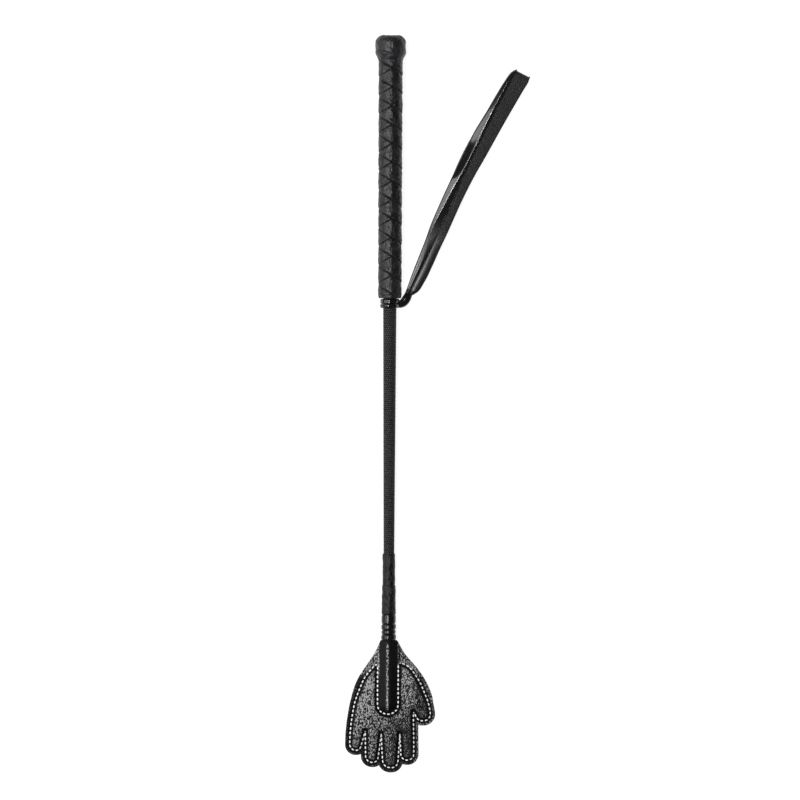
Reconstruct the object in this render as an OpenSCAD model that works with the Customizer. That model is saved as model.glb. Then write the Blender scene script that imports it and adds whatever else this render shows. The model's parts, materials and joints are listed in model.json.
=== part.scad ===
// Riding crop with a hand-shaped popper, lying on a flat surface.
// Row frame: +Y from the popper to the knob, +X to the right, +Z up, floor at z = 0.
// Crop axes: y = 0 at the lower end of the handle, x = z = 0 on the shaft's middle line.
// The crop axes are tipped a little about X, so that the knob's side and the tips of the
// popper's fingers touch the floor together.
// Strap axes: y along the wrist loop from its root, x across it, z up from the floor.

/* [Shaft] */
// Radius of the braided shaft where it leaves the handle
shaft_r = 4.6; // [4:0.1:6]
// Radius that the shaft loses for each millimetre towards the popper
shaft_taper = 0.0053; // [0.003:0.0001:0.006]
// Thickness of the braided cover
braid_t = 0.85; // [0.5:0.05:1]
// Distance from the handle to the end of the rod, inside the popper
rod_reach = 274; // [262:1:276]

/* [Handle] */
// Length of the wrapped handle
handle_len = 159.8; // [120:0.1:200]
// Radius of the handle at its lower end
handle_low_r = 7.9; // [7.5:0.1:10]
// Radius of the handle under the knob
handle_top_r = 8.1; // [7.5:0.1:9]
// Thickness of each of the two crossed wrapping strips
wrap_t = 0.75; // [0.4:0.05:1]

/* [Knob] */
// Largest radius of the knob
knob_r = 10.45; // [9.6:0.05:13]
// Length of the knob above the handle
knob_len = 18.6; // [15:0.1:24]
// Thickness of the leather over the knob
knob_cover_t = 1.1; // [0.6:0.1:1.5]
// Radius of the disc that closes the top of the knob
crown_r = 5.5; // [4:0.1:6.4]

/* [Tip] */
// Distance from the handle to the upper tip sleeve
sleeve_start = 173.3; // [150:0.1:180]
// Distance from the handle to the joint between the two tip sleeves
sleeve_split = 194.7; // [185:0.1:200]
// Distance from the handle to the neck binding
binding_start = 214.4; // [205:0.1:220]
// Distance from the handle to the end of the neck binding
binding_end = 232; // [230:0.1:234]

/* [Popper] */
// Thickness of the front and back leathers
leather = 1; // [0.6:0.1:1.2]
// Height of the padded part above the back leather
pad_h = 4; // [3:0.1:4.5]
// Width of the plain edge outside the stitching
border = 3.6; // [2:0.1:4]
// Height of the shaft's middle line above the back of the popper
axis_h = 4.4; // [4.4:0.1:5]

/* [Wrist loop] */
// Thickness of the folded strap
strap_t = 1.7; // [1.2:0.1:2]
// Direction of the loop, in degrees from the handle
loop_heading = 27.1; // [22:0.1:60]
// Height of the loop's root above the floor
loop_root_h = 7; // [6:0.1:8]
// Length of the loop from its root to its fold
loop_len = 165.4; // [150:0.1:200]

/* [Hidden] */
$fn = 64;

// Angle between neighbouring points on a rounded corner
corner_step = 15;
// Extra length on cutting bodies
over = 1;
// A length longer than any part of the popper or the strap
wide = 400;

// Popper layers, as heights above the shaft's middle line
back_z = -axis_h;
seam_z = back_z + leather;
border_z = seam_z + leather;
pad_z = back_z + pad_h + leather;

// Corners of the padded, stitched area as [x, y, corner radius]
pad_corners = [
    [-7.7, -248, 0.6], [-16, -257.6, 20], [-22.6, -274, 45], [-25.4, -292, 60],
    [-25.9, -306.7, 3.6], [-19.6, -306.7, 2.4], [-15.3, -291.4, 0.3],
    [-14.9, -314.9, 4], [-7.6, -314.9, 3], [-4.6, -292.3, 0.3],
    [-3.2, -318.5, 4.8], [6, -318.5, 4], [7.9, -290.8, 0.3],
    [9.2, -313.3, 3.6], [17.1, -313.3, 3.9], [16.6, -279, 0.4],
    [20.6, -286.5, 3.4], [28.9, -286.5, 4.2], [27.2, -275.6, 30], [21.4, -261.2, 30],
    [13.6, -249.4, 14], [7, -247.6, 0.6], [7, -282.9, 7.2], [-7.7, -282.9, 7.2]
];
// Sides and far end of the rod pocket, between two rows of stitching that start at its seam
pocket_left = -7.7;
pocket_right = 7;
pocket_end = -282.9;
pocket_end_r = 7.2;
pocket_seam = -248;
// Corners of the tapered leather between the binding and the stitching
throat_gap = 0.1;
throat_corners = [
    [-5.4, -binding_end - throat_gap, 0.5], [-9.4, -241, 30], [-14.2, -248, 60],
    [-18.3, -253.8, 60], [-22, -260.4, 40], [-25, -269, 60], [-26.2, -276, 0],
    [-20, -277, 0], [22, -277, 0],
    [30.6, -276, 0], [30, -270.5, 20], [26.4, -261, 40], [21.3, -253.3, 60],
    [16.1, -247, 60], [10.9, -241.6, 30], [5.8, -binding_end - throat_gap, 0.5]
];
// Leftmost point of the popper and rightmost point of the loop, and the two ends
hand_left = -29.5;
loop_right = 94.2;
hand_tip = -322.1;
knob_top = handle_len + knob_len;
// Height on the knob where it is widest, and where it rests on the floor
knob_wide_at = 6.4;
knob_rest_at = 8.8;
// Depth to which the rod reaches into the knob
knob_bore = 8;

// Tip of the crop axes, and where they lie in the row frame
knob_rest_y = handle_len + knob_rest_at;
tip_angle = asin((knob_r - axis_h) / (knob_rest_y - hand_tip));
crop_x = -(hand_left + loop_right) / 2;
crop_y = -(knob_top + hand_tip) / 2;
crop_z = axis_h * cos(tip_angle) - hand_tip * sin(tip_angle);

// Line across the knuckles where the popper bends
flex_y = -291;
flex_z = (back_z + pad_z) / 2;
flex_r = (pad_z - back_z) / 2;
flex_gap = 0.5;

// Rod pocket: a tent of leather over the braided rod
pocket_inner_r = shaft_r - shaft_taper * binding_end + 0.1;
pocket_outer_r = pocket_inner_r + leather;
pocket_inner_foot = 5.4;
pocket_outer_foot = 6.4;
// Steps of the pad's crowned edge: how far below the top, and how far in from the edge
crown_low = 1.2;
crown_low_in = 0.8;
crown_high = 0.5;
crown_high_in = 1.8;

// Thickness and width of the lines of thread, and their distance from the leather's step
thread_t = 0.4;
thread_w = 0.65;
thread_off = 0.05;
// The walls of the rod pocket stand just inside its stitching
pocket_inset = thread_w + 2 * thread_off;

// Strap turns round the shaft, below the handle
turn_w = 3.2;
turn_r = 6.7;
turn_gap = 0.1;
turn_start = 0.25;

// Upright axis on which the strap swings, in crop axes
swing_x = 9.75;
swing_y = -3.4;
swing_r = 2.75;
// Root of the loop, where it lifts, in crop axes
root_x = 14.2;
root_y = 6.4;
root_r = 1.9;
root_left = -3;
root_right = 4.4;
// The neck ends this far short of the lifting axis
neck_short = 3;
// Corners of the loop seen from above as [across, along, corner radius]
loop_corners = [
    [root_left, -root_r, 0], [root_left, 1, 10], [-9.2, 60, 120], [-10.8, 92, 90],
    [-10.7, 118, 90], [-7.1, 157, 30], [-5.2, loop_len, 1],
    [6.2, loop_len, 1.5], [6.2, 152, 60], [3.9, 100, 120], [3.2, 62, 120],
    [6.5, 12, 10], [root_right, 0.6, 4], [root_right, -root_r, 0]
];
// Height of the loop's fold, and how far the lower leg lies flat from it
fold_h = 5.6;
flat_from = 42;
// The opening starts this far from the root
eye_from = 12;

function unit(v) = v / norm(v);
function shaft_radius(y) = shaft_r + shaft_taper * min(y, 0);
function rod_radius(y) = shaft_radius(y) - braid_t;
function handle_radius(y) = handle_low_r + (handle_top_r - handle_low_r) * y / handle_len;

// Points of one corner of a path, replaced by an arc of radius r
function corner(before, at, after, r) =
    r <= 0 ? [at] :
    let (
        v1 = unit(before - at),
        v2 = unit(after - at),
        half = acos(v1 * v2) / 2,
        middle = at + unit(v1 + v2) * r / sin(half),
        from = at + v1 * r / tan(half) - middle,
        to = at + v2 * r / tan(half) - middle,
        start = atan2(from.y, from.x),
        raw = atan2(to.y, to.x) - start,
        turn = raw > 180 ? raw - 360 : raw < -180 ? raw + 360 : raw,
        steps = max(1, ceil(abs(turn) / corner_step))
    )
    [for (i = [0:steps]) middle + r * [cos(start + turn * i / steps), sin(start + turn * i / steps)]];

// Closed path through corners given as [x, y, radius]
function rounded(c) =
    let (n = len(c), flat = [for (p = c) [p.x, p.y]])
    [for (i = [0:n - 1]) each corner(flat[(i + n - 1) % n], flat[i], flat[(i + 1) % n], c[i][2])];

// Points on a cubic curve, without its last point
function curve(a, b, c, d, steps) =
    [for (i = [0:steps - 1]) let (t = i / steps, u = 1 - t)
        u * u * u * a + 3 * u * u * t * b + 3 * u * t * t * c + t * t * t * d];

// Puts crop axes where the crop lies
module laid() {
    translate([crop_x, crop_y, crop_z]) rotate([tip_angle, 0, 0]) children();
}

// Puts strap axes at the root of the loop, on the floor
module along_loop() {
    translate([crop_x + root_x, crop_y + root_y, 0]) rotate([0, 0, -loop_heading]) children();
}

// Turns an outline of [radius, y] about the shaft's middle line
module turned(outline) {
    laid() rotate([-90, 0, 0]) rotate_extrude() polygon(outline);
}

// Stretch of tube along the shaft, with an outer and an inner radius at each end
module tube(y1, y2, outer1, outer2, inner1, inner2) {
    turned([[inner1, y1], [outer1, y1], [outer2, y2], [inner2, y2]]);
}

// Band of strap or lace round the shaft, with rounded outer edges
module band(y1, y2, outer, inner, edge) {
    turned(rounded([[inner, y1, 0], [outer, y1, edge], [outer, y2, edge], [inner, y2, 0]]));
}

module core_rod() {
    color("gainsboro")
        turned([
            [0, -rod_reach], [rod_radius(-rod_reach), -rod_reach],
            [rod_radius(0), 0], [rod_radius(0), handle_len + knob_bore], [0, handle_len + knob_bore]
        ]);
}

module rod_tip_cap() {
    cap_r = shaft_radius(-rod_reach);
    cap_end = -rod_reach - 4.5;
    color("dimgray")
        turned(rounded([
            [0, -rod_reach, 0], [cap_r, -rod_reach, 0], [cap_r, cap_end, 2], [0, cap_end, 0]
        ]));
}

module braid_sheath() {
    color([0.09, 0.09, 0.1])
        turned([
            [rod_radius(-rod_reach), -rod_reach], [shaft_radius(-rod_reach), -rod_reach],
            [shaft_r, 0], [shaft_r, handle_len - 6],
            [rod_radius(0), handle_len - 6], [rod_radius(0), 0]
        ]);
}

// Thickness of the hem that closes the lower end of the handle
wrap_hem = 0.8;

module grip_core() {
    color("burlywood")
        tube(wrap_hem, handle_len - over, handle_radius(0) - 2 * wrap_t,
            handle_radius(handle_len) - 2 * wrap_t, shaft_r, shaft_r);
}

module grip_underwrap() {
    color([0.14, 0.14, 0.15])
        tube(wrap_hem, handle_len, handle_radius(0) - wrap_t, handle_radius(handle_len) - wrap_t,
            handle_radius(0) - 2 * wrap_t, handle_radius(handle_len) - 2 * wrap_t);
}

module grip_overwrap() {
    end_round = 0.7;
    color([0.17, 0.17, 0.18])
        turned(rounded([
            [shaft_r, 0, 0], [handle_radius(0), 0, end_round], [handle_radius(handle_len), handle_len, 0],
            [handle_radius(handle_len) - wrap_t, handle_len, 0],
            [handle_radius(0) - wrap_t, wrap_hem, 0], [shaft_r, wrap_hem, 0]
        ]));
}

// Length of the knob's straight neck, and radius of its shoulder
knob_neck = 1.4;
knob_shoulder_r = 5.2;

// Outline of the knob, drawn in by a thickness, from its neck to its crown
function knob_outline(inset) = [
    [handle_top_r - inset, handle_len, 0],
    [handle_top_r - inset, handle_len + knob_neck, 3],
    [knob_r - inset, handle_len + knob_wide_at, 4],
    [knob_r - inset, knob_top - inset, knob_shoulder_r - inset],
    [0, knob_top - inset, 0]
];

module knob_core() {
    color("saddlebrown")
        difference() {
            turned(rounded(concat([[0, handle_len, 0]], knob_outline(knob_cover_t))));
            tube(handle_len - over, handle_len + knob_bore, rod_radius(0), rod_radius(0), 0, 0);
        }
}

// The cover is open at the top, where the crown disc sits
module knob_cover() {
    color([0.17, 0.17, 0.18])
        difference() {
            turned(rounded(concat([[0, handle_len, 0]], knob_outline(0))));
            turned(rounded(concat([[0, handle_len, 0]], knob_outline(knob_cover_t))));
            tube(knob_top - 2 * knob_cover_t, knob_top + over, crown_r, crown_r, 0, 0);
        }
}

module knob_crown() {
    color([0.07, 0.08, 0.07])
        turned(rounded([
            [0, knob_top - knob_cover_t, 0], [crown_r, knob_top - knob_cover_t, 0],
            [crown_r, knob_top - 0.1, 0.7], [0, knob_top - 0.1, 0]
        ]));
}

module strap_turn(start) {
    inner_r = shaft_radius(-start - turn_w / 2);
    edge_r = 0.95;
    color([0.05, 0.05, 0.06]) band(-start - turn_w, -start, turn_r, inner_r, edge_r);
}

module strap_turn_upper() {
    strap_turn(turn_start);
}

module strap_turn_lower() {
    strap_turn(turn_start + turn_w + turn_gap);
}

// Short gathered stretch of strap between the turns and the loop
module strap_neck() {
    across = root_x - swing_x;
    along = root_y - swing_y;
    swing = [
        -across * cos(loop_heading) + along * sin(loop_heading),
        -across * sin(loop_heading) - along * cos(loop_heading)
    ];
    neck_h = 2 * root_r;
    step = 0.3;
    color([0.05, 0.05, 0.06])
        along_loop() translate([0, 0, loop_root_h - root_r]) {
            translate(swing) cylinder(r = swing_r, h = neck_h);
            linear_extrude(neck_h - step)
                polygon([
                    swing + [over - swing_r, 0], swing + [swing_r, 0],
                    [root_right - 2 * step, -neck_short], [root_left + step, -neck_short]
                ]);
        }
}

// Outer shape of the loop seen from its side as [along, height]
function loop_side() = concat(
    curve([0, loop_root_h + root_r], [45, 12.8], [108, 10.6], [loop_len - fold_h / 2, fold_h], 12),
    [for (a = [90:-15:-90]) [loop_len - fold_h / 2 * (1 - cos(a)), fold_h / 2 * (1 + sin(a))]],
    curve([flat_from, 0], [26, 0], [12, 3.6], [0, loop_root_h - root_r], 6),
    [[0, loop_root_h - root_r]]
);

module wrist_loop() {
    color([0.05, 0.05, 0.06])
        along_loop() union() {
            translate([root_left, 0, loop_root_h]) rotate([0, 90, 0])
                cylinder(r = root_r, h = root_right - root_left);
            intersection() {
                linear_extrude(2 * loop_root_h) polygon(rounded(loop_corners));
                translate([-wide / 2, 0, 0]) rotate([90, 0, 90]) linear_extrude(wide)
                    difference() {
                        polygon(loop_side());
                        intersection() {
                            offset(delta = -strap_t) polygon(loop_side());
                            translate([eye_from, 0]) square([loop_len, 2 * loop_root_h]);
                        }
                    }
            }
        }
}

// Radius of the upper sleeve, and of the lower one at its two ends
sleeve_r = 4.27;
sleeve_lower_r = [4.45, 4.75];

module tip_sleeve_upper() {
    color([0.12, 0.12, 0.13])
        tube(-sleeve_split, -sleeve_start, sleeve_r, sleeve_r,
            shaft_radius(-sleeve_split), shaft_radius(-sleeve_start));
}

module tip_sleeve_lower() {
    color([0.13, 0.13, 0.14])
        turned(rounded([
            [shaft_radius(-binding_start), -binding_start, 0],
            [sleeve_lower_r[1], -binding_start, 0.5], [sleeve_lower_r[0], -sleeve_split, 0.3],
            [shaft_radius(-sleeve_split), -sleeve_split, 0]
        ]));
}

// Leather of the popper where it is bound to the shaft: how far it starts below the binding's
// upper end and how far it reaches past its lower end
neck_leather_r = 4.05;
neck_late = 1.6;
neck_overlap = 0.6;

// Four turns of lace side by side, each as [start, end, radius]
module neck_binding() {
    length = binding_end - binding_start;
    turns = [[0, 6.6, 4.75], [6.6, 10.5, 4.9], [10.5, 13.6, 4.75], [13.6, length, 4.95]];
    edge_r = 0.45;
    color([0.05, 0.05, 0.06])
        for (t = turns)
            band(-binding_start - t[1], -binding_start - t[0], t[2], neck_leather_r, edge_r);
}

module pad_shape() {
    polygon(rounded(pad_corners));
}

// Rod pocket seen from above, from its rounded end up to a given line
module pocket_shape(top) {
    polygon(rounded([
        [pocket_left, top, 0], [pocket_right, top, 0],
        [pocket_right, pocket_end, pocket_end_r], [pocket_left, pocket_end, pocket_end_r]
    ]));
}

// Everything inside the outer row of stitching
module stitched_shape() {
    pad_shape();
    pocket_shape(pocket_seam);
}

// Whole outline of the hand
module hand_shape() {
    offset(r = border) stitched_shape();
    polygon(rounded(throat_corners));
}

// Slab between two heights, in crop axes, from an outline
module slab(z1, z2) {
    translate([0, 0, z1]) linear_extrude(z2 - z1) children();
}

// Cylinder across the knuckles
module knuckle(r) {
    translate([-wide / 2, flex_y, flex_z]) rotate([0, 90, 0]) cylinder(r = r, h = wide);
}

// Half space beyond the knuckle line, towards the fingertips
module finger_side() {
    translate([-wide / 2, flex_y - wide, -wide / 2]) cube([wide, wide, wide]);
}

// Keeps the palm side of a layer, clear of the turning knuckles
module palm_part() {
    laid() difference() {
        children();
        finger_side();
        knuckle(flex_r + flex_gap);
    }
}

// Keeps the finger side of a layer, ending in a round edge on the knuckle line
module finger_part() {
    laid() intersection() {
        children();
        union() {
            finger_side();
            knuckle(flex_r);
        }
    }
}

// Half of the leather sleeve under the binding; side is 1 for the front, -1 for the back
module neck_half(side) {
    start = binding_start + neck_late;
    end = binding_end + neck_overlap;
    difference() {
        rotate([-90, 0, 0]) rotate_extrude() polygon([
            [shaft_radius(-end), -end], [neck_leather_r, -end],
            [neck_leather_r, -start], [shaft_radius(-start), -start]
        ]);
        translate([-wide / 2, -binding_end - wide / 2, side > 0 ? -wide : 0]) cube([wide, wide, wide]);
    }
}

module back_layer() {
    slab(back_z, seam_z) hand_shape();
}

// The foam fills the pad below the front leather in two steps
module foam_layer() {
    step_z = pad_z - 1.6 * leather;
    slab(seam_z, step_z) offset(delta = -leather) pad_shape();
    slab(step_z, pad_z - leather) offset(delta = -2 * leather) pad_shape();
}

// Front leather: a flat edge, and a crowned part over the foam
module front_layer() {
    difference() {
        union() {
            slab(seam_z, border_z) hand_shape();
            slab(border_z, pad_z - crown_low) pad_shape();
            slab(pad_z - crown_low, pad_z - crown_high) offset(delta = -crown_low_in) pad_shape();
            slab(pad_z - crown_high, pad_z) offset(delta = -crown_high_in) pad_shape();
        }
        foam_layer();
    }
}

// Cross-section of the rod pocket, with a round top and a spread foot
module tent_section(top_r, foot, floor_z) {
    polygon(concat(
        [[-foot, floor_z]],
        [for (a = [150:-10:30]) top_r * [cos(a), sin(a)]],
        [[foot, floor_z]]
    ));
}

// Solid of the pocket: its cross-section run along the shaft, with a rounded far end
module tent(top_r, foot, floor_z, inset) {
    intersection() {
        translate([0, -binding_end, 0]) rotate([90, 0, 0]) linear_extrude(wide)
            tent_section(top_r, foot, floor_z);
        slab(-wide / 2, wide / 2) intersection() {
            hand_shape();
            offset(delta = -inset) pocket_shape(-binding_start);
        }
    }
}

module popper_back_palm() {
    color([0.08, 0.08, 0.09]) {
        palm_part() back_layer();
        laid() neck_half(-1);
    }
}

module popper_front_palm() {
    color([0.15, 0.15, 0.16]) {
        palm_part() difference() {
            union() {
                front_layer();
                tent(pocket_outer_r, pocket_outer_foot, seam_z, pocket_inset);
            }
            tent(pocket_inner_r, pocket_inner_foot, seam_z - over, pocket_inset + leather);
        }
        laid() neck_half(1);
    }
}

module popper_foam_palm() {
    color("khaki") palm_part() foam_layer();
}

module popper_back_fingers() {
    color([0.08, 0.08, 0.09]) finger_part() back_layer();
}

module popper_front_fingers() {
    color([0.15, 0.15, 0.16]) finger_part() front_layer();
}

module popper_foam_fingers() {
    color("khaki") finger_part() foam_layer();
}

// Line of thread along an outline, between two distances outside it, open at the throat
module thread_line(from, to, open_y) {
    slab(border_z, border_z + thread_t) difference() {
        offset(delta = to) children();
        offset(delta = from) children();
        translate([pocket_left + thread_w, open_y])
            square([pocket_right - pocket_left - 2 * thread_w, wide]);
    }
}

// Seam round the pad, without the rows along the rod pocket
module outline_thread() {
    thread_line(thread_off, thread_off + thread_w, pocket_seam) stitched_shape();
}

module palm_stitching() {
    color("lightgray") palm_part() outline_thread();
}

module finger_stitching() {
    color("lightgray") finger_part() outline_thread();
}

module pocket_stitching() {
    color("lightgray")
        laid() thread_line(-thread_off - thread_w, -thread_off, pocket_seam - 2)
            pocket_shape(pocket_seam);
}

core_rod();
rod_tip_cap();
braid_sheath();
grip_core();
grip_underwrap();
grip_overwrap();
knob_core();
knob_cover();
knob_crown();
strap_turn_upper();
strap_turn_lower();
strap_neck();
wrist_loop();
tip_sleeve_upper();
tip_sleeve_lower();
neck_binding();
popper_back_palm();
popper_front_palm();
popper_foam_palm();
palm_stitching();
pocket_stitching();
popper_back_fingers();
popper_front_fingers();
popper_foam_fingers();
finger_stitching();
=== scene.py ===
"""Looks of a riding crop with a hand-shaped popper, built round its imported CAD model.

Shapes are worked out in millimetres. Most are in crop axes: y runs along the shaft towards the
knob from the handle's lower end, x to the right, z up, and the origin is on the shaft's middle
line. The wrist loop is in strap axes: x across it, y along it from its root, z up from the floor.
"""

import json
import math

import bmesh
import bpy
import numpy as np
from mathutils import Matrix, Vector


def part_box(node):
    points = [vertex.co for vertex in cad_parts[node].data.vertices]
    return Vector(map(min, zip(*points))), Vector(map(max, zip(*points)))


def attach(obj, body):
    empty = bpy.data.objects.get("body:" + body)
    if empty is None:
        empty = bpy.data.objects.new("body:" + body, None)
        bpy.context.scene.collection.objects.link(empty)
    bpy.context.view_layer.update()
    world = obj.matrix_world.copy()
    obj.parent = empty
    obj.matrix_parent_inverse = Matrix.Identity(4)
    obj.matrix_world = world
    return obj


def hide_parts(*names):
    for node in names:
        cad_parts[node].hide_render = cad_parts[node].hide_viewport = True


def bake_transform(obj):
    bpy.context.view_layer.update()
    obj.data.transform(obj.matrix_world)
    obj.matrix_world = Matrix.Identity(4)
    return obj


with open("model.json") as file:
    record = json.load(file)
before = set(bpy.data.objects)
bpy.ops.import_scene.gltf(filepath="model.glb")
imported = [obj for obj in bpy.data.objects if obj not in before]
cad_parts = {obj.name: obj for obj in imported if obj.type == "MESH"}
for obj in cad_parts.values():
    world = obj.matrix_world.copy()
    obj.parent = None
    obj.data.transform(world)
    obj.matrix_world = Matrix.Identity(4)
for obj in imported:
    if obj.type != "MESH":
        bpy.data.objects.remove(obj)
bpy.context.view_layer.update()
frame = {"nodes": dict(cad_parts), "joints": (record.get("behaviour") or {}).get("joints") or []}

MM = 0.001


# ---------------- camera

VIEW_WIDTH = 0.5427  # width that the camera sees at the shaft's height, in metres
VIEW_HEIGHT = 0.0085
VIEW_CENTRE = (-0.0252, 0.0029)
VIEW_ROLL = math.radians(0.21)
LENS = 300
SENSOR = 36


def add_camera():
    """Camera straight above the crop, as the view is from the top."""
    data = bpy.data.cameras.new("camera")
    data.lens = LENS
    data.sensor_width = SENSOR
    data.clip_end = 20
    camera = bpy.data.objects.new("camera", data)
    distance = VIEW_WIDTH * LENS / SENSOR
    camera.location = (VIEW_CENTRE[0], VIEW_CENTRE[1], VIEW_HEIGHT + distance)
    camera.rotation_euler = (0, 0, VIEW_ROLL)
    bpy.context.scene.collection.objects.link(camera)
    bpy.context.scene.camera = camera


add_camera()


# ---------------- axes and stations


def box_centre(node):
    low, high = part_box(node)
    return (low + high) / 2


SHAFT_DIRECTION = (box_centre("strap_turn_upper") - box_centre("tip_sleeve_upper")).normalized()
RIGHT = Vector((1, 0, 0))
CROP_AXES = np.array([RIGHT, SHAFT_DIRECTION, RIGHT.cross(SHAFT_DIRECTION)])


def raw_points(node):
    """A CAD node's vertices in the row frame, in metres."""
    mesh = frame["nodes"][node].data
    flat = np.zeros(len(mesh.vertices) * 3)
    mesh.vertices.foreach_get("co", flat)
    return flat.reshape(-1, 3)


sleeve_centre = np.array(box_centre("tip_sleeve_upper"))
handle_low = ((raw_points("grip_overwrap") - sleeve_centre) @ CROP_AXES[1]).min()
CROP_ORIGIN = sleeve_centre + handle_low * CROP_AXES[1]


def crop_points(node):
    return (raw_points(node) - CROP_ORIGIN) @ CROP_AXES.T / MM


def crop_to_row(points):
    return CROP_ORIGIN + np.asarray(points, float) @ CROP_AXES * MM


def span(node):
    """Where a node starts and ends along the shaft."""
    y = crop_points(node)[:, 1]
    return y.min(), y.max()


def reach(node):
    """A node's largest radius about the shaft."""
    points = crop_points(node)
    return np.hypot(points[:, 0], points[:, 2]).max()


SHAFT_R = reach("braid_sheath")
SHAFT_TAPER = 0.0053
HANDLE_LOW_R = 7.9
HANDLE_TOP_R = reach("grip_overwrap")
HANDLE_TOP = span("grip_underwrap")[1]
KNOB_R = reach("knob_cover")
KNOB_TOP = span("knob_cover")[1]
BRAID_END, BRAID_START = span("braid_sheath")
SLEEVE_SPLIT, SLEEVE_START = span("tip_sleeve_upper")
BINDING_END, BINDING_START = span("neck_binding")
TURN_R = reach("strap_turn_upper")

LEATHER = 1.0
BACK_Z = crop_points("popper_back_fingers")[:, 2].min()
SEAM_Z = BACK_Z + LEATHER
BORDER_Z = SEAM_Z + LEATHER
PAD_Z = crop_points("popper_front_fingers")[:, 2].max()

joints = {joint["name"]: joint for joint in frame["joints"]}
STRAP_ROOT = np.array(joints["loop_lift"]["pos_m"])
STRAP_ACROSS = np.array(joints["loop_lift"]["axis"])
STRAP_ALONG = np.cross([0, 0, 1], STRAP_ACROSS)
LOOP_ROOT_H = STRAP_ROOT[2] / MM
LOOP_ROOT_R = 1.9
LOOP_LEN = ((raw_points("wrist_loop") - STRAP_ROOT) @ STRAP_ALONG).max() / MM


def strap_to_row(points):
    points = np.asarray(points, float)
    floor_root = STRAP_ROOT * [1, 1, 0]
    return floor_root + MM * (
        points[:, :1] * STRAP_ACROSS + points[:, 1:2] * STRAP_ALONG + points[:, 2:] * [0, 0, 1]
    )


def shaft_radius(y):
    return SHAFT_R + SHAFT_TAPER * np.minimum(y, 0)


# ---------------- small numeric helpers


def smooth_step(value):
    value = np.clip(value, 0, 1)
    return value * value * (3 - 2 * value)


def bell(distance, width):
    return np.exp(-((distance / width) ** 2))


def unit(vectors):
    """The same directions with a length of one, along the last axis."""
    return vectors / np.linalg.norm(vectors, axis=-1, keepdims=True)


def quarter_round(share):
    """Height of a rounded edge, which is upright at a share of 0 and level at a share of 1."""
    return np.sqrt(share * (2 - share))


def soft_max(a, b, softness):
    """The larger of two heights, with a rounded valley where they meet."""
    mix = np.clip(0.5 + 0.5 * (a - b) / softness, 0, 1)
    return b + (a - b) * mix + softness * mix * (1 - mix)


def table(value, stations, values):
    """A smooth curve through values at stations."""
    stations = np.asarray(stations, float)
    values = np.asarray(values, float)
    slopes = np.gradient(values, stations)
    value = np.clip(value, stations[0], stations[-1])
    index = np.clip(np.searchsorted(stations, value) - 1, 0, len(stations) - 2)
    gap = stations[index + 1] - stations[index]
    t = (value - stations[index]) / gap
    rise = values[index + 1] - values[index]
    m0, m1 = slopes[index] * gap, slopes[index + 1] * gap
    return values[index] + t * (m0 + t * (3 * rise - 2 * m0 - m1 + t * (m0 + m1 - 2 * rise)))


def waves(points, seed, count=24, longest=20.0, shortest=4.0):
    """Smooth noise of about unit height, from a few seeded sine waves."""
    rng = np.random.default_rng(seed)
    total = np.zeros(len(points))
    for _ in range(count):
        direction = unit(rng.normal(size=points.shape[1]))
        length = shortest * (longest / shortest) ** rng.random()
        total += np.sin(points @ direction * math.tau / length + rng.random() * math.tau)
    return total / math.sqrt(count)


def rounded(corners, step=math.radians(8)):
    """Closed path through corners given as (x, y, radius)."""
    path = []
    count = len(corners)
    for i, (x, y, radius) in enumerate(corners):
        at = np.array([x, y])
        if radius <= 0:
            path.append(at)
            continue
        before = unit(np.array(corners[i - 1][:2]) - at)
        after = unit(np.array(corners[(i + 1) % count][:2]) - at)
        half = math.acos(np.clip(before @ after, -1, 1)) / 2
        middle = at + unit(before + after) * radius / math.sin(half)
        start = at + before * radius / math.tan(half) - middle
        end = at + after * radius / math.tan(half) - middle
        a1 = math.atan2(start[1], start[0])
        turn = (math.atan2(end[1], end[0]) - a1 + math.pi) % math.tau - math.pi
        steps = max(1, math.ceil(abs(turn) / step))
        for k in range(steps + 1):
            a = a1 + turn * k / steps
            path.append(middle + radius * np.array([math.cos(a), math.sin(a)]))
    return np.array(path)


def resample(path, step, closed=True):
    """Points at an even step along a path, with the distance of each from the start."""
    if closed:
        path = np.vstack([path, path[:1]])
    lengths = np.concatenate([[0], np.cumsum(np.linalg.norm(np.diff(path, axis=0), axis=1))])
    count = max(2, round(lengths[-1] / step))
    at = np.linspace(0, lengths[-1], count + 1)
    if closed:
        at = at[:-1]
    points = np.stack([np.interp(at, lengths, path[:, k]) for k in range(path.shape[1])], axis=1)
    return points, at


def signed_distance(points, polygon):
    """Distance of each point from a closed polygon's edge, negative inside it."""
    best = np.full(len(points), np.inf)
    inside = np.zeros(len(points), bool)
    for a, b in zip(polygon, np.roll(polygon, -1, axis=0)):
        edge = b - a
        length2 = edge @ edge
        if length2 < 1e-12:
            continue
        t = np.clip((points - a) @ edge / length2, 0, 1)
        gap = points - a - t[:, None] * edge
        best = np.minimum(best, gap[:, 0] ** 2 + gap[:, 1] ** 2)
        crosses = (a[1] > points[:, 1]) != (b[1] > points[:, 1])
        if crosses.any():
            x = a[0] + (points[:, 1] - a[1]) * edge[0] / (edge[1] if edge[1] else 1e-12)
            inside ^= crosses & (points[:, 0] < x)
    return np.where(inside, -1, 1) * np.sqrt(best)


# ---------------- meshes

pieces = {}


def set_values(piece, name, values):
    """A number for each vertex, which a material reads by name; vertices past the last one get 0."""
    attribute = piece.data.attributes.new(name, "FLOAT", "POINT")
    padded = np.zeros(len(piece.data.vertices), np.float32)
    padded[: values.size] = values.ravel()
    attribute.data.foreach_set("value", padded)


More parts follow.
